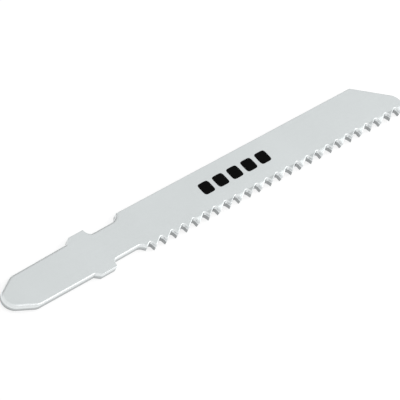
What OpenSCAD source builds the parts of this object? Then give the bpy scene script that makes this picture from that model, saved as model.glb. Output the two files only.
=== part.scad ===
// Jigsaw blade with a T-shaped shank and side-set milled teeth.
// It lies flat: X runs along the blade to its tip, Y to its back edge, Z up through its thickness.
// The origin is the centre of the bounding box, at its bottom.

/* [Blade body] */
// Width from the back edge to the line of the tooth tips
blade_width = 8; // [7.6:0.1:9.5]
// Thickness of the steel strip
blade_thickness = 1.25; // [1:0.05:1.5]

/* [Teeth] */
// Distance from one tooth tip to the next
tooth_pitch = 2.5; // [2.3:0.05:2.8]
// Number of whole teeth
tooth_count = 25; // [10:1:28]
// Number of teeth next to the shank that are left straight
straight_teeth = 4; // [0:1:8]
// Slope of each tooth's long back, from the tip line
relief_angle = 29; // [25:1:32]
// Lean of each tooth's cutting face, from square to the blade
face_lean = 6; // [0:1:10]
// Radius at the bottom of each gullet
gullet_radius = 0.3; // [0.2:0.05:0.4]
// Angle by which each set tooth is bent to its side
set_angle = 8; // [3:0.5:11]
// Distance from the gullet bottoms out to the line about which the teeth are bent
bend_line_gap = 0.1; // [0.08:0.01:0.2]

/* [Tip] */
// Length of blade beyond the last tooth tip
tip_margin = 1.85; // [1.3:0.05:2]
// Length of the sloping edge, measured along the blade
tip_slope_run = 6.55; // [5:0.05:9]
// Height of the sloping edge, measured across the blade
tip_slope_drop = 5.1; // [3.5:0.05:5.6]
// Radius where the sloping edge meets the end
tip_radius = 2; // [0.5:0.1:2.1]

/* [Shank] */
// Length from the first tooth tip to the rounded end of the shank
shank_length = 29.85; // [27:0.05:34]
// Angle between the shank's middle line and the back edge
shank_angle = 0.8; // [0:0.1:1.5]
// Distance from the back edge to that line, level with the first tooth tip
shank_axis_drop = 3.7; // [3.6:0.05:3.9]
// Width of the tang next to the lugs
tang_width = 6.6; // [6.2:0.02:6.9]
// Width of the tang where its end begins to narrow
tang_end_width = 6.38; // [5.9:0.02:6.5]
// Slope of the two narrowing edges at the end of the tang
nose_angle = 25; // [20:1:35]
// Radius of the rounded end of the tang
nose_radius = 1.96; // [1.2:0.02:2.1]
// Radius where the tang begins to narrow
tang_corner_radius = 2.8; // [0.5:0.1:3]
// Width across the two lugs
lug_width = 8; // [7.9:0.05:8.5]
// Distance from the first tooth tip to the front of the lugs
lug_front = 8.75; // [8:0.05:9.6]
// Length of each lug's straight outer edge
lug_flat = 3.3; // [2.4:0.05:4]
// Length of each lug's sloping rear edge, measured along the blade
lug_slope_run = 0.9; // [0.7:0.05:1.6]
// Radius of the outer corners of the lugs
lug_corner_radius = 0.15; // [0.05:0.01:0.15]
// Radius in front of each lug
lug_root_radius = 1.05; // [0.6:0.05:1.05]

/* [Neck] */
// Width of the neck between the lugs and the body
neck_width = 5.6; // [5.3:0.05:5.7]
// Distance from the first tooth tip to the foot of the shoulder on the back edge's side
back_shoulder_x = 2.28; // [2.1:0.02:3]
// Slope of that shoulder
back_shoulder_angle = 48; // [42:1:52]
// Radius at its foot
back_shoulder_radius = 2.8; // [2:0.1:2.9]
// Distance from the first tooth tip to the foot of the shoulder on the teeth's side
front_shoulder_x = 2.23; // [2:0.01:2.4]
// Slope of that shoulder
front_shoulder_angle = 45; // [40:1:50]
// Radius at its foot
front_shoulder_radius = 1.4; // [0.8:0.1:1.6]

/* [Hidden] */

// Greatest turn from one point of a rounded corner to the next.
arc_step = 10;

// Bottom corner of a gullet before rounding, measured from the tip of the tooth before it.
gullet_corner_x = tooth_pitch / (1 + tan(face_lean) * tan(relief_angle));
gullet_corner_y = gullet_corner_x * tan(relief_angle);

// Centre of the gullet's arc, which touches the tooth's long back and the next cutting face.
gullet_centre_x = (tooth_pitch * cos(face_lean) - gullet_radius
    + gullet_radius * sin(face_lean) / cos(relief_angle))
    / (cos(face_lean) + sin(face_lean) * tan(relief_angle));
gullet_centre_y = gullet_centre_x * tan(relief_angle) - gullet_radius / cos(relief_angle);
gullet_depth = gullet_centre_y + gullet_radius;

// The teeth are bent about this line, half way through the steel.
bend_y = gullet_depth - bend_line_gap - blade_width;
bent_height = blade_width + bend_y;

// Blade end.
end_x = (tooth_count - 1) * tooth_pitch + tip_margin;
end_y = tip_margin * tan(relief_angle) - blade_width;

// Shank end: the narrowing edges would meet on the middle line at nose_corner_x.
nose_corner_x = nose_radius - nose_radius / sin(nose_angle) - shank_length;
narrow_x = nose_corner_x + tang_end_width / 2 / tan(nose_angle);
lug_rear_x = -lug_front - lug_flat;
lug_base_x = lug_rear_x - lug_slope_run;
lug_wall = (lug_width - neck_width) / 2 - lug_corner_radius;

// Shoulders: one ends at the back edge, the other at the long back of a tooth that is cut away.
back_foot = on_shank([-back_shoulder_x, neck_width / 2]);
front_foot = on_shank([-front_shoulder_x, -neck_width / 2]);
back_corner_x = back_foot[0] - back_foot[1] / tan(back_shoulder_angle);
front_corner_x = (front_foot[1] + blade_width + front_foot[0] * tan(front_shoulder_angle)
    - tooth_pitch * tan(relief_angle)) / (tan(front_shoulder_angle) + tan(relief_angle));
front_corner_y = (front_corner_x + tooth_pitch) * tan(relief_angle) - blade_width;

// Bounding box, so that the origin sits at its bottom centre.
set_out = bend_y - bent_height * cos(set_angle) - blade_thickness / 2 * sin(set_angle);
set_down = bent_height * sin(set_angle) - blade_thickness / 2 * (1 - cos(set_angle));
lug_top = on_shank([-lug_front - lug_corner_radius, lug_width / 2 - lug_corner_radius]);
box_low_x = on_shank([nose_radius - shank_length, 0])[0] - nose_radius;
box_low_y = min(set_out, on_shank([lug_rear_x, -lug_width / 2])[1]);
box_high_y = max(0, lug_top[1] + lug_corner_radius);
centre_x = (end_x + box_low_x) / 2;
centre_y = (box_low_y + box_high_y) / 2;

// A point given along the shank's middle line, from the first tooth tip, and square to it.
// Anything after the two lengths, such as a radius, is kept.
function on_shank(p) = [
    p[0] * cos(shank_angle) - p[1] * sin(shank_angle),
    p[0] * sin(shank_angle) + p[1] * cos(shank_angle) - shank_axis_drop,
    p[2]
];

function unit(v) = v / norm(v);
function flat(p) = [p[0], p[1]];

// Points of the corner b = [x, y, radius] between its neighbours a and c.
// The arc's centre lies on the line that halves the corner, radius / sin(half) away from it.
function corner(a, b, c) =
    let (
        to_a = unit(flat(a) - flat(b)),
        to_c = unit(flat(c) - flat(b)),
        half = acos(to_a * to_c) / 2,
        centre = flat(b) + unit(to_a + to_c) * b[2] / sin(half),
        start = flat(b) + to_a * b[2] / tan(half) - centre,
        turn = (180 - 2 * half) * sign(cross(to_a, to_c)) * -1,
        steps = 2 * ceil(abs(turn) / arc_step / 2)
    )
    b[2] == 0 ? [flat(b)] : [
        for (i = [0 : steps])
            let (angle = turn * i / steps)
            centre + [
                start[0] * cos(angle) - start[1] * sin(angle),
                start[0] * sin(angle) + start[1] * cos(angle)
            ]
    ];

// Closed outline with each corner rounded by its own radius.
function rounded(points) = [
    for (i = [0 : len(points) - 1])
        each corner(
            points[(i + len(points) - 1) % len(points)],
            points[i],
            points[(i + 1) % len(points)]
        )
];

// One edge of the shank, from the end of the tang to the neck: side = 1 is the back edge's side.
// The radius in front of a lug is never more than the lug's own front wall holds.
function shank_side(side) = [
    on_shank([narrow_x, side * tang_end_width / 2, tang_corner_radius]),
    on_shank([lug_base_x, side * tang_width / 2, 0]),
    on_shank([lug_rear_x, side * lug_width / 2, lug_corner_radius]),
    on_shank([-lug_front, side * lug_width / 2, lug_corner_radius]),
    on_shank([-lug_front, side * neck_width / 2, min(lug_root_radius, lug_wall)])
];

function reversed(points) = [for (i = [len(points) - 1 : -1 : 0]) points[i]];

// Corners of the whole blade with every tooth straight, from the tang round the teeth to the back.
outline_corners = concat(
    [on_shank([nose_corner_x, 0, nose_radius])],
    shank_side(-1),
    [
        [front_foot[0], front_foot[1], front_shoulder_radius],
        [front_corner_x, front_corner_y, 0],
        [gullet_corner_x - tooth_pitch, gullet_corner_y - blade_width, gullet_radius]
    ],
    [
        for (k = [0 : tooth_count - 2])
            each [
                [k * tooth_pitch, -blade_width, 0],
                [k * tooth_pitch + gullet_corner_x, gullet_corner_y - blade_width, gullet_radius]
            ]
    ],
    [
        [(tooth_count - 1) * tooth_pitch, -blade_width, 0],
        [end_x, end_y, 0],
        [end_x, -tip_slope_drop, tip_radius],
        [end_x - tip_slope_run, 0, 0],
        [back_corner_x, 0, 0],
        [back_foot[0], back_foot[1], back_shoulder_radius]
    ],
    reversed(shank_side(1))
);

// Every second tooth is bent down, the others up.
function bend(k) = k % 2 == 0 ? set_angle : -set_angle;

module outline() {
    polygon(rounded(outline_corners));
}

// The stretch of blade from the gullet before tooth k to the one after it.
module tooth_stretch(k) {
    translate([(k - 1) * tooth_pitch + gullet_centre_x, -2 * blade_width])
        square([tooth_pitch, 2 * blade_width]);
}

// Everything beyond the fold plane of tooth k. The plane halves the angle of the bend.
module beyond_fold(k) {
    reach = 3;
    translate([(k - 1) * tooth_pitch + gullet_centre_x, bend_y, blade_thickness / 2])
        rotate([bend(k) / 2, 0, 0])
            translate([0, -reach, -reach])
                cube([tooth_pitch, reach, 2 * reach]);
}

// Tooth k, turned about the bend line as one rigid piece.
module bent_tooth(k) {
    intersection() {
        translate([k * tooth_pitch, bend_y, blade_thickness / 2])
            rotate([bend(k), 0, 0])
                translate([-k * tooth_pitch, -bend_y, -blade_thickness / 2])
                    linear_extrude(height = blade_thickness)
                        intersection() {
                            outline();
                            tooth_stretch(k);
                        }
        beyond_fold(k);
    }
}

module blade() {
    color([0.84, 0.86, 0.86])
        translate([-centre_x, -centre_y, set_down]) {
            difference() {
                linear_extrude(height = blade_thickness)
                    outline();
                for (k = [straight_teeth : tooth_count - 1])
                    beyond_fold(k);
            }
            for (k = [straight_teeth : tooth_count - 1])
                bent_tooth(k);
        }
}

blade();
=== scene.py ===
import math

import bmesh
import bpy
import numpy as np
from mathutils import Matrix, Vector


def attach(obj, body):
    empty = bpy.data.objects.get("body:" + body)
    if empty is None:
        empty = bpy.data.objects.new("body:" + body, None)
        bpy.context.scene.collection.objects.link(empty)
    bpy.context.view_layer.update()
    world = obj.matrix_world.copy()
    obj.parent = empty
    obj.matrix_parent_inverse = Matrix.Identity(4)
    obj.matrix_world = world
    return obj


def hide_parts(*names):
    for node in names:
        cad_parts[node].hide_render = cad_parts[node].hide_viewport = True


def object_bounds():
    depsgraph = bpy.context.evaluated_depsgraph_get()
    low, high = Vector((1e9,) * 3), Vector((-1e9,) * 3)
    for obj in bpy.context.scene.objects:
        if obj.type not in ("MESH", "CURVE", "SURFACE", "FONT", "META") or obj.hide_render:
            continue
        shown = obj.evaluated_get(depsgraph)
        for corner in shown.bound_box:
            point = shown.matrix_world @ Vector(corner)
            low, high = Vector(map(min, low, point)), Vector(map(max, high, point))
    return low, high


# A jigsaw blade, lying on the tips of the teeth that are set down.

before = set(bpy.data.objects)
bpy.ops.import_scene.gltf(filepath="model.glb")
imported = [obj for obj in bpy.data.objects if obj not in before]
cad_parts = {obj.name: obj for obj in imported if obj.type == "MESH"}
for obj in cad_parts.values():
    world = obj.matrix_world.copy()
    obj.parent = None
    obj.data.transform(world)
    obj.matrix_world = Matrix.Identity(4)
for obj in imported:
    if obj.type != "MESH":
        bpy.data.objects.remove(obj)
CAD_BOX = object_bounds()

MM = 0.001

# Sizes of the blade in millimetres. x runs from the first tooth tip, y from the back edge.
WIDTH = 8.0
THICKNESS = 1.25
PITCH = 2.5
TOOTH_COUNT = 25
STRAIGHT_TEETH = 4
RELIEF = math.radians(29)
FACE_LEAN = math.radians(6)
GULLET_RADIUS = 0.3
SET_ANGLE = math.radians(8)
FOLD_GAP = 0.1
TIP_MARGIN = 1.85
TIP_SLOPE_RUN = 6.55
TIP_SLOPE_DROP = 5.1
TIP_RADIUS = 2.0
SHANK_LENGTH = 29.85
SHANK_ANGLE = math.radians(0.8)
SHANK_AXIS_DROP = 3.7
TANG_WIDTH = 6.6
TANG_END_WIDTH = 6.38
NOSE_ANGLE = math.radians(25)
NOSE_RADIUS = 1.96
TANG_CORNER_RADIUS = 2.8
LUG_WIDTH = 8.0
LUG_FRONT = 8.75
LUG_FLAT = 3.3
LUG_SLOPE_RUN = 0.9
LUG_BASE_RADIUS = 0.25
LUG_CORNER_RADIUS = 0.15
LUG_ROOT_RADIUS = 1.05
NECK_WIDTH = 5.6
BACK_FOOT_X = 2.28
BACK_SHOULDER = math.radians(48)
BACK_FOOT_RADIUS = 2.8
FRONT_FOOT_X = 2.23
FRONT_SHOULDER = math.radians(45)
FRONT_FOOT_RADIUS = 1.4

# Radius of the gullets as they look. GULLET_RADIUS, the solid's own, still sets the fold line.
GULLET_LOOK = 0.42
# Fine rounding of corners that the eye reads as sharp.
TOOTH_TIP_RADIUS = 0.02
SMALL_CORNER_RADIUS = 0.06
# Each edge: radius of its rolled upper side, radius of its lower side, and height of the smooth band of
# wall under the rolled side. That band and the rolled side are coloured lighter, partly as a painted
# highlight.
NOSE_EDGE = (0.42, 0.3, 0.1)
TANG_EDGE = (0.2, 0.1, 0.22)
TANG_BACK_EDGE = (0.42, 0.1, 0.05)
LUG_EDGE = (0.06, 0.05, 0.5)
NECK_EDGE = (0.2, 0.08, 0.3)
NECK_BACK_EDGE = (0.38, 0.08, 0.05)
BACK_EDGE = (0.1, 0.04, 0.2)
SLOPE_EDGE = (0.2, 0.04, 0.2)
STUB_EDGE = (0.2, 0.05, 0.2)
RAKE_EDGE = (0.24, 0.04, 0.34)
RELIEF_EDGE = (0.16, 0.04, 0.4)
# Share of the shorter neighbouring edge that a hollow corner's arc may take up.
HOLLOW_SHARE = 0.95

# Position of the frame's origin in the blade's own millimetres.
LOW, HIGH = (np.array(corner) / MM for corner in CAD_BOX)
END_X = (TOOTH_COUNT - 1) * PITCH + TIP_MARGIN
ORIGIN_X = END_X - HIGH[0]

GULLET_X = PITCH / (1 + math.tan(FACE_LEAN) * math.tan(RELIEF))
GULLET_Y = GULLET_X * math.tan(RELIEF)
GULLET_CENTRE_X = (
    PITCH * math.cos(FACE_LEAN)
    - GULLET_RADIUS
    + GULLET_RADIUS * math.sin(FACE_LEAN) / math.cos(RELIEF)
) / (math.cos(FACE_LEAN) + math.sin(FACE_LEAN) * math.tan(RELIEF))
GULLET_TOP = (
    GULLET_CENTRE_X * math.tan(RELIEF) - GULLET_RADIUS / math.cos(RELIEF) + GULLET_RADIUS - WIDTH
)
FOLD_Y = GULLET_TOP - FOLD_GAP
SET_DOWN = (WIDTH + FOLD_Y) * math.sin(SET_ANGLE) - THICKNESS / 2 * (1 - math.cos(SET_ANGLE))
SET_OUT = FOLD_Y - (WIDTH + FOLD_Y) * math.cos(SET_ANGLE) - THICKNESS / 2 * math.sin(SET_ANGLE)
ORIGIN_Y = SET_OUT - LOW[1]


def unit(vectors):
    """Each row divided by its own length."""
    return vectors / np.linalg.norm(vectors, axis=-1, keepdims=True)


def on_shank(u, v):
    """A point u along the shank's middle line and v square to it, in the blade's x and y."""
    c, s = math.cos(SHANK_ANGLE), math.sin(SHANK_ANGLE)
    return u * c - v * s, u * s + v * c - SHANK_AXIS_DROP


def corner_orders(arc_points, edge_shares):
    """The points of a chain in order: rows of edge, whether on the corner that ends it, and share.

    A chain is a first point, then edge 0, corner 0, edge 1 and so on to the last point.
    edge_shares gives each edge's inner points as shares of its length.
    """
    rows = [[[0, 0, 0.0]]]
    for edge, shares in enumerate(edge_shares):
        rows.append(np.column_stack([np.full(len(shares), edge), np.zeros(len(shares)), shares]))
        if edge < len(arc_points):
            way = np.linspace(0, 1, arc_points[edge])
            rows.append(np.column_stack([np.full(len(way), edge), np.ones(len(way)), way]))
    rows.append([[len(edge_shares) - 1, 0, 1.0]])
    return np.concatenate([np.asarray(row, float).reshape(-1, 3) for row in rows])


def trace(corners, order, side, inset):
    """Points of a chain of straight edges with rounded corners, each edge moved in by its inset.

    A moved corner is where its two moved edges cross. Its radius shrinks by the inset where the
    chain bulges and grows where it is hollow, so the arc keeps its centre, as far as the shorter
    edge beside it has room. A point on an edge is a mix of the edge's ends; one on a corner is
    the arc's start turned about the centre.
    side is 1 where the steel lies to the left of the chain, and -1 to the right.
    """
    along = unit(np.diff(corners[:, :2], axis=0))
    left = np.column_stack([-along[:, 1], along[:, 0]])
    out = -side * left
    a, b = out[:-1], out[1:]
    inset_a, inset_b = inset[:-1], inset[1:]
    cross = a[:, 0] * b[:, 1] - a[:, 1] * b[:, 0]
    turn = np.arctan2(cross, (a * b).sum(1))
    back = np.column_stack([inset_a * b[:, 1] - inset_b * a[:, 1], inset_b * a[:, 0] - inset_a * b[:, 0]])
    moved = corners[1:-1, :2] - back / cross[:, None]
    mean = (inset_a + inset_b) / 2
    drawn = corners[1:-1, 2]
    length = np.linalg.norm(np.diff(corners[:, :2], axis=0), axis=1)
    room = HOLLOW_SHARE * np.minimum(length[:-1], length[1:]) / np.tan(np.abs(turn) / 2)
    hollow = np.minimum(drawn + mean, np.maximum(room, drawn))
    radius = np.where(side * turn > 0, np.maximum(drawn - mean, 0), hollow)
    reach = (radius * np.tan(np.abs(turn) / 2))[:, None]
    start, end = moved - along[:-1] * reach, moved + along[1:] * reach
    centre = start + left[:-1] * (np.sign(turn) * radius)[:, None]
    first = corners[:1, :2] - out[:1] * inset[0]
    last = corners[-1:, :2] - out[-1:] * inset[-1]
    edge_from, edge_to = np.vstack([first, end]), np.vstack([start, last])
    edge, on_arc, share = order[:, 0].astype(int), order[:, 1:2] > 0, order[:, 2:3]
    line = edge_from[edge] + (edge_to[edge] - edge_from[edge]) * share
    arc = np.minimum(edge, len(centre) - 1)
    angle = turn[arc][:, None] * share
    spoke = (start - centre)[arc]
    turned = spoke * np.cos(angle) + np.column_stack([-spoke[:, 1], spoke[:, 0]]) * np.sin(angle)
    return np.where(on_arc, centre[arc] + turned, line)


def per_point(values, order):
    """A value of each edge at every point, mixed from edge to edge along the corners."""
    edge, on_arc, share = order[:, 0].astype(int), order[:, 1] > 0, order[:, 2]
    following = np.minimum(edge + 1, len(values) - 1)
    return values[edge] + np.where(on_arc, (values[following] - values[edge]) * share, 0)


def inner_shares(count):
    """Even shares of a length, without its two ends."""
    return np.arange(1, count + 1) / (count + 1)


# Points on each corner of the shank, from the round end to the neck, and inside each edge.
# The other names say the same of the neck, the shoulders, the teeth and the blade's end.
SHANK_ARCS = [22, 9, 5, 5, 5, 13]
SHANK_EDGES = [0, 4, 12, 3, 4, 3]
NECK_POINTS = 6
FOOT_ARC = 10
SHOULDER_POINTS = 3
SHARP_ARC = 3
GULLET_ARC = 9
RELIEF_POINTS = 6
RAKE_POINTS = 4
STUB_POINTS = 2
LAST_RELIEF_POINTS = 10
END_POINTS = 4
TIP_ARC = LAST_RELIEF_POINTS + SHARP_ARC
# The two edges' chains meet at this height on the blade's end.
MEETING_Y = -6.4
# Row of the corner between the shoulder and the stub of the tooth that is cut away. Before it
# come the chain's first point, the shank's corners and the foot of the shoulder.
STUB_CORNER = len(SHANK_ARCS) + 2
# The cut walls of the teeth stop this far before the blade's end.
END_GAP = 0.01


def shank_corners(side):
    """Corners of one edge of the shank, as rows x, y, radius: side 1 is the back edge's side."""
    nose_corner_u = NOSE_RADIUS - NOSE_RADIUS / math.sin(NOSE_ANGLE) - SHANK_LENGTH
    half_turn = (math.pi / 2 - NOSE_ANGLE) / 2
    lug_rear = -LUG_FRONT - LUG_FLAT
    u = np.array([
        -SHANK_LENGTH, -SHANK_LENGTH, nose_corner_u + TANG_END_WIDTH / 2 / math.tan(NOSE_ANGLE),
        lug_rear - LUG_SLOPE_RUN, lug_rear, -LUG_FRONT, -LUG_FRONT,
    ])
    v = side * np.array([
        0, NOSE_RADIUS * math.tan(half_turn), TANG_END_WIDTH / 2,
        TANG_WIDTH / 2, LUG_WIDTH / 2, LUG_WIDTH / 2, NECK_WIDTH / 2,
    ])
    radius = np.array([
        0, NOSE_RADIUS, TANG_CORNER_RADIUS,
        LUG_BASE_RADIUS, LUG_CORNER_RADIUS, LUG_CORNER_RADIUS, LUG_ROOT_RADIUS,
    ])
    return np.column_stack([*on_shank(u, v), radius])


def toothed_chain():
    """The edge with the teeth, from the round end to the middle of the blade's far end."""
    foot = on_shank(-FRONT_FOOT_X, -NECK_WIDTH / 2)
    slope, relief = math.tan(FRONT_SHOULDER), math.tan(RELIEF)
    corner_x = (foot[1] + WIDTH + foot[0] * slope - PITCH * relief) / (slope + relief)
    tips = np.arange(TOOTH_COUNT) * PITCH
    teeth = np.empty((2 * TOOTH_COUNT, 3))
    teeth[0::2] = np.column_stack([
        tips - PITCH + GULLET_X,
        np.full(TOOTH_COUNT, GULLET_Y - WIDTH),
        np.full(TOOTH_COUNT, GULLET_LOOK),
    ])
    teeth[1::2] = np.column_stack([
        tips,
        np.full(TOOTH_COUNT, -WIDTH),
        np.full(TOOTH_COUNT, TOOTH_TIP_RADIUS),
    ])
    corners = np.vstack([
        shank_corners(-1),
        [*foot, FRONT_FOOT_RADIUS],
        [corner_x, (corner_x + PITCH) * relief - WIDTH, SMALL_CORNER_RADIUS],
        teeth,
        [END_X, TIP_MARGIN * relief - WIDTH, SMALL_CORNER_RADIUS],
        [END_X, MEETING_Y, 0],
    ])
    arcs = SHANK_ARCS + [FOOT_ARC, SHARP_ARC] + [GULLET_ARC, SHARP_ARC] * TOOTH_COUNT + [SHARP_ARC]
    counts = SHANK_EDGES + [NECK_POINTS, SHOULDER_POINTS, STUB_POINTS, RAKE_POINTS]
    counts += [RELIEF_POINTS, RAKE_POINTS] * (TOOTH_COUNT - 1) + [LAST_RELIEF_POINTS, END_POINTS]
    sizes = [NOSE_EDGE, NOSE_EDGE, TANG_EDGE, LUG_EDGE, LUG_EDGE, LUG_EDGE]
    sizes += [NECK_EDGE, NECK_EDGE, STUB_EDGE]
    sizes += [RAKE_EDGE, RELIEF_EDGE] * TOOTH_COUNT + [BACK_EDGE]
    order = corner_orders(arcs, [inner_shares(count) for count in counts])
    return corners, order, np.array(sizes)


def back_chain(toothed_x):
    """The back edge and the sloping tip, with one point level with each of the toothed edge's."""
    foot = on_shank(-BACK_FOOT_X, NECK_WIDTH / 2)
    corner_x = foot[0] - foot[1] / math.tan(BACK_SHOULDER)
    slope_x = END_X - TIP_SLOPE_RUN
    corners = np.vstack([
        shank_corners(1),
        [*foot, BACK_FOOT_RADIUS],
        [corner_x, 0, SMALL_CORNER_RADIUS],
        [slope_x, 0, SMALL_CORNER_RADIUS],
        [END_X, -TIP_SLOPE_DROP, TIP_RADIUS],
        [END_X, MEETING_Y, 0],
    ])
    arcs = SHANK_ARCS + [FOOT_ARC, SHARP_ARC, SHARP_ARC, TIP_ARC]
    counts = SHANK_EDGES + [NECK_POINTS, SHOULDER_POINTS]
    matched = 1 + sum(SHANK_ARCS) + sum(counts) + FOOT_ARC + SHARP_ARC
    level = toothed_x[matched : len(toothed_x) - LAST_RELIEF_POINTS - SHARP_ARC - END_POINTS - 1]
    turn = int(np.searchsorted(level, slope_x)) - 1
    slope = math.atan2(TIP_SLOPE_DROP, TIP_SLOPE_RUN)
    slope_end = END_X - TIP_RADIUS * math.tan((math.pi / 2 - slope) / 2) * math.cos(slope)
    before = (level[:turn] - corner_x) / (slope_x - corner_x)
    after = (level[turn + SHARP_ARC :] - slope_x) / (slope_end - slope_x)
    shares = [inner_shares(count) for count in counts] + [before, after, inner_shares(END_POINTS)]
    sizes = [NOSE_EDGE, NOSE_EDGE, TANG_BACK_EDGE, LUG_EDGE, LUG_EDGE, LUG_EDGE]
    sizes += [NECK_BACK_EDGE, NECK_BACK_EDGE, BACK_EDGE, SLOPE_EDGE, BACK_EDGE]
    return corners, corner_orders(arcs, shares), np.array(sizes)


# Height over which a tooth's bend grows from nothing to the full set.
BEND_LENGTH = 0.3
# An edge's first and last rings lie on the two faces, this far inside its rounding.
SUPPORT = 0.02
# Rings of an edge's rolled upper side and of its lower side.
ROUNDING_STEPS = 7
LOWER_STEPS = 5
# Rings of the sheared wall, as shares of its height from the smooth band down.
WALL_SHARES = np.array([0.06, 0.4, 0.75])
# Place of the first sheared ring: the first ring, the rolled side's and the band's come before
# it. After the wall come the lower side's rings and the last one.
SHEARED_RING = ROUNDING_STEPS + 2
RING_COUNT = SHEARED_RING + len(WALL_SHARES) + LOWER_STEPS + 1
# Rows of points down the teeth, and the line just above the gullets from which they start.
TOOTH_ROWS = 8
ROOT_Y = -6.6
# The first value below is how dark the sheared wall is at its top. Its dull colour is partly the shear's
# own steel and partly painted shade, deeper towards the lower side. The lighter rolled-edge colour,
# partly a painted highlight, starts at a slope of the second value, in degrees, and is full the third
# value of degrees on.
SHEAR_AND_SHADE_START = 0.25
RUB_AND_HIGHLIGHT_FROM = 5
RUB_AND_HIGHLIGHT_OVER = 20


def set_teeth(points, lean):
    """Bends each tooth about the fold line, half way through the steel.

    The angle grows from nothing at that line to the full set within BEND_LENGTH. lean is 1 for
    a tooth set down, -1 for one set up and 0 where there is none.
    """
    way = np.clip((FOLD_Y - points[..., 1]) / BEND_LENGTH, 0, 1)
    angle = SET_ANGLE * lean * way * way * (3 - 2 * way)
    y, z = points[..., 1] - FOLD_Y, points[..., 2] - THICKNESS / 2
    bent = points.copy()
    bent[..., 1] = FOLD_Y + y * np.cos(angle) - z * np.sin(angle)
    bent[..., 2] = THICKNESS / 2 + y * np.sin(angle) + z * np.cos(angle)
    return bent


def edge_profile(chain, side):
    """Rings over one edge, from the upper face's border down to the lower face's border.

    A ring is the chain moved in by some share of each edge's radius, at its own height. The
    upper rings follow a quarter circle. Then come the smooth band, the sheared wall and the
    lower quarter circle.
    """
    corners, order, sizes = chain
    upper, lower, smooth = sizes.T
    top = THICKNESS - per_point(upper, order)
    bottom = per_point(lower, order)
    band = top - per_point(smooth, order)

    def ring(inset, height):
        points = trace(corners, order, side, inset)
        return np.column_stack([points, np.broadcast_to(height, len(points))])

    rings = [ring(upper + SUPPORT, THICKNESS)]
    for angle in np.linspace(0, math.pi / 2, ROUNDING_STEPS):
        sunk = (THICKNESS - top) * (1 - math.cos(angle))
        rings.append(ring(upper * (1 - math.sin(angle)), THICKNESS - sunk))
    rings.append(ring(upper * 0, band))
    for share in WALL_SHARES:
        rings.append(ring(upper * 0, band + (bottom - band) * share))
    for angle in np.linspace(0, math.pi / 2, LOWER_STEPS):
        rings.append(ring(lower * (1 - math.cos(angle)), bottom * (1 - math.sin(angle))))
    rings.append(ring(lower + SUPPORT, 0.0))
    return rings


def ring_wear_and_light():
    """How much of the lighter rolled-edge colour and of the darker wall colour each ring of an edge
    takes, one row a ring.

    The lighter colour is partly rubbing and partly a painted highlight. The darker one is partly the
    shear's own steel and partly painted shade. The rolled upper side takes the lighter colour from the
    given start slope on, and so does the smooth band under it. The wall below that takes the darker
    colour, more so towards its lower side. The lower rounding takes it fully, as painted shade along the
    bottom.
    """
    turn = np.linspace(0, 90, ROUNDING_STEPS)
    rubbed_and_highlight, sheared_and_shade = np.zeros(RING_COUNT), np.zeros(RING_COUNT)
    rubbed_and_highlight[1 : SHEARED_RING - 1] = np.clip((turn - RUB_AND_HIGHLIGHT_FROM) / RUB_AND_HIGHLIGHT_OVER, 0, 1)
    rubbed_and_highlight[SHEARED_RING - 1] = 1
    sheared_and_shade[SHEARED_RING:-1] = 1
    wall = slice(SHEARED_RING, SHEARED_RING + len(WALL_SHARES))
    sheared_and_shade[wall] = SHEAR_AND_SHADE_START + (1 - SHEAR_AND_SHADE_START) * WALL_SHARES
    return np.column_stack([rubbed_and_highlight, sheared_and_shade])


def face_rows(back, toothed, from_x):
    """Rows down the teeth, from a line just above the gullets to the toothed edge's ring.

    Left of from_x there are no teeth, and every row lies on the ring itself.
    """
    gap = np.maximum(back[:, 1] - toothed[:, 1], SUPPORT)
    share = np.where(toothed[:, 0] > from_x, np.clip((ROOT_Y - toothed[:, 1]) / gap, 0, 1), 0)
    root = toothed + (back - toothed) * share[:, None]
    return [root + (toothed - root) * way for way in np.linspace(0, 1, TOOTH_ROWS, endpoint=False)]


def blade_grid():
    """The blade as one closed grid: a loop round the section, carried along the blade.

    The loop goes down the upper sides of the teeth, over the toothed edge, back up the teeth's
    lower sides, across the lower face to the back edge, up over that and across the upper face.
    Both ends close where the two edges meet. Also returned: which points lie on the cut walls of the
    teeth, how much of the lighter rolled-edge colour (partly a painted highlight) and of the darker wall
    colour (partly painted shade) each point takes, and the columns at which the lower and the upper face
    begin.
    """
    toothed = toothed_chain()
    corners, order, sizes = toothed
    outline = trace(corners, order, 1, np.zeros(len(sizes)))
    back = back_chain(outline[:, 0])
    tooth = np.floor((outline[:, 0] - GULLET_CENTRE_X) / PITCH).astype(int) + 1
    is_set = (tooth >= STRAIGHT_TEETH) & (tooth < TOOTH_COUNT)
    lean = np.where(tooth % 2 == 0, 1.0, -1.0) * is_set
    down, up = edge_profile(toothed, 1), edge_profile(back, -1)
    corner_x = corners[STUB_CORNER, 0]
    loop = face_rows(up[0], down[0], corner_x) + down
    walls = slice(TOOTH_ROWS + SHEARED_RING - 1, len(loop) - 2)
    loop += face_rows(up[-1], down[-1], corner_x)[::-1]
    lower_face = len(loop) - 1
    loop += up[::-1]
    grid = set_teeth(np.stack(loop, axis=1), lean[:, None])
    cut = (outline[:, 0] > corner_x) & (outline[:, 0] < END_X - END_GAP)
    ground = np.zeros(grid.shape[:2], bool)
    ground[cut, walls] = True
    plain = np.zeros((TOOTH_ROWS, 2))
    wear_and_light = np.concatenate([plain, ring_wear_and_light(), plain, ring_wear_and_light()[::-1]])
    rubbed_and_highlight, sheared_and_shade = (np.tile(wear_and_light[:, part], (len(grid), 1)) for part in (0, 1))
    return grid, ground, {"rubbed_and_highlight": rubbed_and_highlight, "sheared_and_shade": sheared_and_shade}, [lower_face, len(loop) - 1]


# Points closer than this, in metres, are joined. Edges sharper than SHARP_ANGLE stay sharp.
MERGE_DISTANCE = 2e-7
SHARP_ANGLE = math.radians(28)


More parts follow.
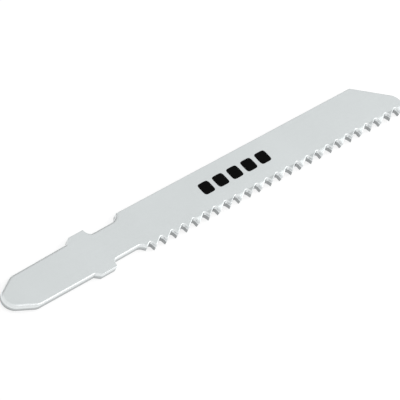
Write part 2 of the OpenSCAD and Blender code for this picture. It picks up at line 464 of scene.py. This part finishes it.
def closed_mesh(name, grid, slots=None, flat=(), wear_and_light=None):
    """A mesh from a grid of points in millimetres of the frame, with the grid's columns in a loop.

    Between neighbouring rows and columns lie quads. A column named in flat has one face for all its
    quads. Points that meet are joined. The last argument holds named values, one for each point, such as
    the shares of the edge colours, which carry painted highlight and painted shade.
    """
    rows, columns = grid.shape[:2]
    index = np.arange(rows * columns).reshape(rows, columns)
    here, there = index[:-1], index[1:]
    quads = np.stack([here, np.roll(here, -1, 1), np.roll(there, -1, 1), there], axis=-1)
    kept = np.setdiff1d(np.arange(columns), flat)
    faces = quads[:, kept].reshape(-1, 4).tolist()
    for column in flat:
        faces.append(index[:, (column + 1) % columns].tolist() + index[::-1, column].tolist())
    mesh = bpy.data.meshes.new(name)
    mesh.from_pydata((grid.reshape(-1, 3) * MM).tolist(), [], faces)
    if slots is not None:
        all_slots = np.append(slots[:, kept].reshape(-1), np.zeros(len(flat)))
        mesh.polygons.foreach_set("material_index", all_slots.astype(np.int32))
    for key, values in (wear_and_light or {}).items():
        attribute = mesh.attributes.new(key, "FLOAT", "POINT")
        attribute.data.foreach_set("value", values.reshape(-1).astype(np.float32))
    work = bmesh.new()
    work.from_mesh(mesh)
    bmesh.ops.remove_doubles(work, verts=work.verts, dist=MERGE_DISTANCE)
    bmesh.ops.dissolve_degenerate(work, edges=work.edges, dist=MERGE_DISTANCE)
    work.to_mesh(mesh)
    work.free()
    mesh.polygons.foreach_set("use_smooth", np.ones(len(mesh.polygons), bool))
    mesh.set_sharp_from_angle(angle=SHARP_ANGLE)
    piece = bpy.data.objects.new(name, mesh)
    bpy.context.scene.collection.objects.link(piece)
    return piece


def to_frame(points):
    """The blade's own millimetres moved to the frame's origin."""
    return points - np.array([ORIGIN_X, ORIGIN_Y, -SET_DOWN])


# Node groups and materials

# In blasted_grain: the coarse noise's scale as a share of the fine one's, and the fine one's
# share of their sum.
COARSE_SCALE = 0.17
FINE_SHARE = 0.65


class Nodes:
    """Short calls for placing and joining nodes in one tree."""

    def __init__(self, tree):
        self.tree = tree

    def add(self, kind, values=None, **settings):
        """Places a node with its settings, and gives inputs a number, a colour or a link."""
        node = self.tree.nodes.new(kind)
        for key, value in settings.items():
            setattr(node, key, value)
        for socket, value in (values or {}).items():
            if isinstance(value, bpy.types.NodeSocket):
                self.tree.links.new(value, node.inputs[socket])
            else:
                node.inputs[socket].default_value = value
        return node

    def math(self, operation, *values):
        return self.add("ShaderNodeMath", dict(enumerate(values)), operation=operation).outputs[0]

    def noise(self, values):
        return self.add("ShaderNodeTexNoise", values).outputs[0]

    def mix_colour(self, share, first, second):
        """Mixes two colours, which are inputs 6 and 7 and output 2 of the node."""
        return self.add("ShaderNodeMix", {0: share, 6: first, 7: second}, data_type="RGBA").outputs[2]


def new_group(name, inputs, outputs):
    """An empty node group with inputs (name: default number or vector) and outputs (name: kind)."""
    tree = bpy.data.node_groups.new(name, "ShaderNodeTree")
    for key, default in inputs.items():
        kind = "NodeSocketVector" if isinstance(default, tuple) else "NodeSocketFloat"
        socket = tree.interface.new_socket(key, in_out="INPUT", socket_type=kind)
        socket.default_value = default
    for key, kind in outputs.items():
        tree.interface.new_socket(key, in_out="OUTPUT", socket_type=kind)
    nodes = Nodes(tree)
    return nodes, nodes.add("NodeGroupInput"), nodes.add("NodeGroupOutput")


def blasted_grain():
    """Fine matt grain of blasted steel: two noises of different size, as a value round 0.5."""
    nodes, inside, outside = new_group(
        "blasted_grain", {"Size mm": 0.12, "Contrast": 1.0}, {"Value": "NodeSocketFloat"}
    )
    place = nodes.add("ShaderNodeTexCoord").outputs["Object"]
    scale = nodes.math("DIVIDE", 1 / MM, inside.outputs["Size mm"])
    fine = nodes.noise({"Vector": place, "Scale": scale, "Detail": 2.0})
    wide = nodes.math("MULTIPLY", scale, COARSE_SCALE)
    coarse = nodes.noise({"Vector": place, "Scale": wide, "Detail": 3.0})
    fine_part = nodes.math("MULTIPLY", fine, FINE_SHARE)
    coarse_part = nodes.math("MULTIPLY", coarse, 1 - FINE_SHARE)
    both = nodes.math("ADD", fine_part, coarse_part)
    swing = nodes.math("MULTIPLY", nodes.math("SUBTRACT", both, 0.5), inside.outputs["Contrast"])
    nodes.tree.links.new(nodes.math("ADD", swing, 0.5), outside.inputs[0])
    return nodes.tree


def drawn_marks():
    """Fine parallel marks: noise whose place is squeezed along the marks, as a value round 0.5."""
    nodes, inside, outside = new_group(
        "drawn_marks", {"Stretch": (1.0, 1.0, 1.0), "Width mm": 0.1}, {"Value": "NodeSocketFloat"}
    )
    place = nodes.add("ShaderNodeTexCoord").outputs["Object"]
    squeezed = nodes.add(
        "ShaderNodeVectorMath", {0: place, 1: inside.outputs["Stretch"]}, operation="MULTIPLY"
    ).outputs[0]
    scale = nodes.math("DIVIDE", 1 / MM, inside.outputs["Width mm"])
    marks = nodes.noise({"Vector": squeezed, "Scale": scale, "Detail": 3.0})
    nodes.tree.links.new(marks, outside.inputs[0])
    return nodes.tree


def cloudy_tone():
    """Broad, faint changes of tone over the steel, a few millimetres across."""
    nodes, inside, outside = new_group(
        "cloudy_tone", {"Size mm": 9.0}, {"Value": "NodeSocketFloat"}
    )
    place = nodes.add("ShaderNodeTexCoord").outputs["Object"]
    scale = nodes.math("DIVIDE", 1 / MM, inside.outputs["Size mm"])
    clouds = nodes.noise({"Vector": place, "Scale": scale, "Detail": 3.0, "Roughness": 0.45})
    nodes.tree.links.new(clouds, outside.inputs[0])
    return nodes.tree


def new_material(name):
    """A material with nothing but a Principled shader joined to its output."""
    material = bpy.data.materials.new(name)
    material.use_nodes = True
    nodes = Nodes(material.node_tree)
    nodes.tree.nodes.clear()
    shader = nodes.add("ShaderNodeBsdfPrincipled")
    output = nodes.add("ShaderNodeOutputMaterial")
    nodes.tree.links.new(shader.outputs[0], output.inputs[0])
    return material, nodes, shader


def use_group(nodes, tree, **values):
    """Places a node group and sets its inputs, whose names are written with _ for a space."""
    node = nodes.add("ShaderNodeGroup", node_tree=tree)
    for key, value in values.items():
        node.inputs[key.replace("_", " ")].default_value = value
    return node.outputs[0]


# A noise's values lie mostly between these two.
NOISE_LOW = 0.3
NOISE_HIGH = 0.7


def spread(nodes, value, low, high):
    """Maps a noise's values, from NOISE_LOW to NOISE_HIGH, onto low to high."""
    return nodes.add("ShaderNodeMapRange", {
        "Value": value,
        "From Min": NOISE_LOW,
        "From Max": NOISE_HIGH,
        "To Min": low,
        "To Max": high,
    }).outputs[0]


# Colours of the steel's faces; of its rolled edges, lighter partly from rubbing and partly as a painted
# highlight; of its sheared walls, darker partly from the shear and partly as painted shade; of the cut
# tooth walls, darker partly as painted shade of the gullets; and of the ink.
STEEL_DARK = (0.60, 0.63, 0.63, 1)
STEEL_PALE = (0.72, 0.755, 0.76, 1)
STEEL_RUBBED_HIGHLIGHT = (0.82, 0.845, 0.85, 1)
STEEL_SHEARED_SHADE = (0.34, 0.35, 0.355, 1)
CUT_DARK_SHADE = (0.26, 0.27, 0.275, 1)
CUT_PALE_SHADE = (0.46, 0.475, 0.48, 1)
INK_DEEP = (0.001, 0.001, 0.001, 1)
INK_THIN = (0.003, 0.003, 0.003, 1)
# How metallic the steel is.
STEEL_METAL = 0.85


def satin_steel(groups):
    """Pale satin steel with blasted grain and faint lengthwise marks. Its edges are lighter, partly from
    rubbing and partly as a painted highlight, and its walls darker, partly from the shear and partly as
    painted shade that deepens towards the lower side.
    """
    material, nodes, shader = new_material("satin_steel")
    grain = use_group(nodes, groups["grain"], Size_mm=0.1)
    marks = use_group(nodes, groups["marks"], Stretch=(0.03, 1.0, 1.0), Width_mm=0.09)
    clouds = use_group(nodes, groups["clouds"], Size_mm=11.0)
    # Lighter colour of the rolled edges and the band under them: partly rubbing, partly a painted
    # highlight.
    rub_and_highlight_share = nodes.add("ShaderNodeAttribute", attribute_name="rubbed_and_highlight").outputs["Fac"]
    tone = nodes.math("ADD", spread(nodes, grain, -0.05, 0.05), spread(nodes, marks, -0.04, 0.04))
    tone = nodes.math("ADD", tone, spread(nodes, clouds, 0.4, 0.6))
    face = nodes.mix_colour(tone, STEEL_DARK, STEEL_PALE)
    rub_and_highlight_grain = nodes.math("MULTIPLY", rub_and_highlight_share, spread(nodes, grain, 0.5, 1.0))
    # Darker colour of the walls: partly the shear's own dull steel, partly painted shade, deepest along
    # the lower side.
    sheared_and_shade = nodes.add("ShaderNodeAttribute", attribute_name="sheared_and_shade").outputs["Fac"]
    dull_and_shade = nodes.math("MULTIPLY", sheared_and_shade, spread(nodes, grain, 0.7, 1.0))
    face = nodes.mix_colour(dull_and_shade, face, STEEL_SHEARED_SHADE)
    nodes.tree.links.new(nodes.mix_colour(rub_and_highlight_grain, face, STEEL_RUBBED_HIGHLIGHT), shader.inputs["Base Color"])
    rough = nodes.math("ADD", spread(nodes, grain, 0.36, 0.46), spread(nodes, marks, -0.03, 0.03))
    rough = nodes.math("SUBTRACT", rough, nodes.math("MULTIPLY", rub_and_highlight_grain, 0.1))
    nodes.tree.links.new(rough, shader.inputs["Roughness"])
    height = nodes.math("ADD", nodes.math("MULTIPLY", grain, 0.7), nodes.math("MULTIPLY", marks, 0.3))
    bump = nodes.add("ShaderNodeBump", {"Strength": 0.25, "Distance": 0.02 * MM, "Height": height})
    nodes.tree.links.new(bump.outputs[0], shader.inputs["Normal"])
    shader.inputs["Metallic"].default_value = STEEL_METAL
    return material


def milled_steel_and_shade(groups):
    """The cut faces of the teeth: darker steel, partly as painted shade of the gullets, with fine marks
    through the thickness.
    """
    material, nodes, shader = new_material("milled_steel_and_shade")
    marks = use_group(nodes, groups["marks"], Stretch=(1.0, 1.0, 0.04), Width_mm=0.05)
    grain = use_group(nodes, groups["grain"], Size_mm=0.05)
    tone = nodes.math("ADD", spread(nodes, marks, 0.2, 0.8), spread(nodes, grain, -0.1, 0.1))
    # Darker than the faces, partly as painted shade of the gullets.
    nodes.tree.links.new(nodes.mix_colour(tone, CUT_DARK_SHADE, CUT_PALE_SHADE), shader.inputs["Base Color"])
    nodes.tree.links.new(spread(nodes, marks, 0.28, 0.42), shader.inputs["Roughness"])
    bump = nodes.add("ShaderNodeBump", {"Strength": 0.4, "Distance": 0.01 * MM, "Height": marks})
    nodes.tree.links.new(bump.outputs[0], shader.inputs["Normal"])
    shader.inputs["Metallic"].default_value = STEEL_METAL
    return material


def marking_ink(groups):
    """Black marking ink: nearly matt, thinner where the steel's grain stands up."""
    material, nodes, shader = new_material("marking_ink")
    grain = use_group(nodes, groups["grain"], Size_mm=0.07, Contrast=1.4)
    clouds = use_group(nodes, groups["clouds"], Size_mm=1.2)
    tone = nodes.math("ADD", spread(nodes, grain, 0.0, 0.7), spread(nodes, clouds, 0.0, 0.3))
    nodes.tree.links.new(nodes.mix_colour(tone, INK_DEEP, INK_THIN), shader.inputs["Base Color"])
    nodes.tree.links.new(spread(nodes, grain, 0.55, 0.75), shader.inputs["Roughness"])
    bump = nodes.add("ShaderNodeBump", {"Strength": 0.2, "Distance": 0.005 * MM, "Height": grain})
    nodes.tree.links.new(bump.outputs[0], shader.inputs["Normal"])
    shader.inputs["Specular IOR Level"].default_value = 0.03
    return material


def make_blade(groups):
    """The steel blade, with its cut tooth faces in their own material."""
    grid, ground, wear_and_light, flat = blade_grid()
    piece = closed_mesh("blade_steel", to_frame(grid), ground[:-1] & ground[1:], flat, wear_and_light)
    piece.data.materials.append(satin_steel(groups))
    piece.data.materials.append(milled_steel_and_shade(groups))
    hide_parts("blade")
    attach(piece, "root")


# The plain black marks on the flat of the blade.
MARK_COUNT = 5
MARK_START_X = 14.9
MARK_LENGTH = 2.5
MARK_GAP = 0.9
MARK_TOP_Y = -2.3
MARK_HEIGHT = 2.25
MARK_SQUARENESS = 5
MARK_RIM_POINTS = 64
# The film's height above the steel, and how far its foot reaches into it.
INK_HEIGHT = 0.012
INK_SINK = 0.01
# Rings of a mark, as share of its rim and height, from the middle of the film to the foot.
MARK_RINGS = [
    (0, INK_HEIGHT),
    (0.5, INK_HEIGHT),
    (0.985, INK_HEIGHT),
    (1, INK_HEIGHT * 0.6),
    (1, -INK_SINK),
    (0.5, -INK_SINK),
    (0, -INK_SINK),
]


def make_marks(groups):
    """Plain black blocks in a row, each a flat film with rounded corners.

    A block's rim is a superellipse, |x / a| ** n + |y / b| ** n = 1. MARK_RINGS carries it from
    the middle of the film out to the rim and down into the steel.
    """
    way = np.linspace(0, 2 * math.pi, MARK_RIM_POINTS, endpoint=False)
    power = 2 / MARK_SQUARENESS
    rim = np.column_stack([
        MARK_LENGTH / 2 * np.sign(np.cos(way)) * np.abs(np.cos(way)) ** power,
        MARK_HEIGHT / 2 * np.sign(np.sin(way)) * np.abs(np.sin(way)) ** power,
    ])
    scales, heights = np.array(MARK_RINGS).T
    ring = np.concatenate([
        rim[None] * scales[:, None, None],
        np.broadcast_to(heights[:, None, None], (len(scales), len(rim), 1)),
    ], axis=2)
    ink = marking_ink(groups)
    for number in range(MARK_COUNT):
        centre = np.array([
            MARK_START_X + MARK_LENGTH / 2 + number * (MARK_LENGTH + MARK_GAP),
            MARK_TOP_Y - MARK_HEIGHT / 2,
            THICKNESS,
        ])
        piece = closed_mesh(f"mark_{number + 1}", to_frame(ring[::-1] + centre))
        piece.data.materials.append(ink)
        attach(piece, "root")


# Camera as the photograph was taken. It aims at a point of the upper face, in the blade's own
# millimetres. Lens and sensor are in millimetres too, and the clip distances in metres.
AIM = (13.282, -4.759, THICKNESS)
DISTANCE = 570.41 * MM
AZIMUTH = math.radians(-66.257)
ELEVATION = math.radians(43.733)
ROLL = math.radians(29.005)
LENS = 329.36
SENSOR = 36
CLIP_START = 0.05
CLIP_END = 20


def make_camera():
    """Stands DISTANCE from the aim in the given direction, rolled about its own line of sight."""
    back = Vector((
        math.sin(AZIMUTH) * math.cos(ELEVATION),
        -math.cos(AZIMUTH) * math.cos(ELEVATION),
        math.sin(ELEVATION),
    ))
    level = Vector((0, 0, 1)).cross(back).normalized()
    over = back.cross(level)
    right = level * math.cos(ROLL) + over * math.sin(ROLL)
    up = back.cross(right)
    place = Vector(to_frame(np.array(AIM)) * MM) + back * DISTANCE
    data = bpy.data.cameras.new("camera")
    data.lens = LENS
    data.sensor_width = SENSOR
    data.clip_start = CLIP_START
    data.clip_end = CLIP_END
    camera = bpy.data.objects.new("camera", data)
    camera.matrix_world = Matrix((
        (right.x, up.x, back.x, place.x),
        (right.y, up.y, back.y, place.y),
        (right.z, up.z, back.z, place.z),
        (0, 0, 0, 1),
    ))
    bpy.context.scene.collection.objects.link(camera)
    bpy.context.scene.camera = camera


# The one lamp: direction from the blade, distance and size in metres, and radiance.
PANEL_TOWARDS = (0.7, -0.32, 0.64)
PANEL_DISTANCE = 0.7
PANEL_SIZE = (0.5, 0.5)
PANEL_RADIANCE = 1.75


def soft_light(name, direction, distance, size, radiance):
    """A flat panel that faces the blade. Its power gives the stated radiance, pi * area * radiance."""
    data = bpy.data.lights.new(name, "AREA")
    data.shape = "RECTANGLE"
    data.size, data.size_y = size
    data.energy = math.pi * size[0] * size[1] * radiance
    lamp = bpy.data.objects.new(name, data)
    towards = Vector(direction).normalized()
    lamp.location = towards * distance
    lamp.rotation_euler = towards.to_track_quat("Z", "Y").to_euler()
    bpy.context.scene.collection.objects.link(lamp)


# The floor: half its width in metres, its colour as a lit surface, and the shade and the glow
# of which it is made where the camera or a reflection sees it.
FLOOR_HALF = 3.0
FLOOR_COLOUR = 0.8
FLOOR_SHADE = 0.3
FLOOR_GLOW = 0.74


def make_floor():
    """A wide white floor. Seen straight or in a reflection it is nearly all its own white."""
    mesh = bpy.data.meshes.new("floor")
    corners = [(x * FLOOR_HALF, y * FLOOR_HALF, 0) for x, y in ((-1, -1), (1, -1), (1, 1), (-1, 1))]
    mesh.from_pydata(corners, [], [(0, 1, 2, 3)])
    floor = bpy.data.objects.new("floor", mesh)
    bpy.context.scene.collection.objects.link(floor)
    material = bpy.data.materials.new("white_floor")
    material.use_nodes = True
    nodes = Nodes(material.node_tree)
    nodes.tree.nodes.clear()
    rays = nodes.add("ShaderNodeLightPath").outputs
    seen = nodes.math("MAXIMUM", rays["Is Camera Ray"], rays["Is Glossy Ray"])
    seen = nodes.math("MAXIMUM", seen, rays["Is Transmission Ray"])
    lit = nodes.add("ShaderNodeBsdfDiffuse", {"Color": (FLOOR_COLOUR,) * 3 + (1,)}).outputs[0]
    faint = nodes.add("ShaderNodeBsdfDiffuse", {"Color": (FLOOR_SHADE,) * 3 + (1,)}).outputs[0]
    glow = nodes.add("ShaderNodeEmission", {"Color": (1, 1, 1, 1), "Strength": FLOOR_GLOW}).outputs[0]
    white = nodes.add("ShaderNodeAddShader", {0: faint, 1: glow}).outputs[0]
    mixed = nodes.add("ShaderNodeMixShader", {0: seen, 1: lit, 2: white}).outputs[0]
    nodes.add("ShaderNodeOutputMaterial", {0: mixed})
    mesh.materials.append(material)


# The sky gets darker low down beyond the back edge: the way there, the cosines of the angle
# to it at which the darkening starts and ends, and the sky's level at each.
SKY_DARK_SIDE = (0.5, 0.8, -0.33)
SKY_TURN = (0.3, 0.95)
SKY_LEVELS = (0.94, 0.22)


def make_world():
    """A soft pale sky; the camera sees it as white past the floor's edge."""
    world = bpy.data.worlds.new("studio")
    bpy.context.scene.world = world
    world.use_nodes = True
    nodes = Nodes(world.node_tree)
    nodes.tree.nodes.clear()
    way = nodes.add("ShaderNodeTexCoord").outputs["Generated"]
    side = nodes.add(
        "ShaderNodeVectorMath", {0: way, 1: SKY_DARK_SIDE}, operation="DOT_PRODUCT"
    ).outputs["Value"]
    level = nodes.add("ShaderNodeMapRange", {
        "Value": side,
        "From Min": SKY_TURN[0],
        "From Max": SKY_TURN[1],
        "To Min": SKY_LEVELS[0],
        "To Max": SKY_LEVELS[1],
    }, interpolation_type="SMOOTHSTEP").outputs[0]
    rays = nodes.add("ShaderNodeLightPath").outputs
    seen = nodes.math("MAXIMUM", level, rays["Is Camera Ray"])
    sky = nodes.add("ShaderNodeBackground", {"Color": (1, 1, 1, 1), "Strength": seen}).outputs[0]
    nodes.add("ShaderNodeOutputWorld", {0: sky})


make_camera()
groups = {"grain": blasted_grain(), "marks": drawn_marks(), "clouds": cloudy_tone()}
make_blade(groups)
make_marks(groups)
make_floor()
make_world()
soft_light("side_panel", PANEL_TOWARDS, PANEL_DISTANCE, PANEL_SIZE, PANEL_RADIANCE)
bpy.context.scene.view_settings.view_transform = "Standard"
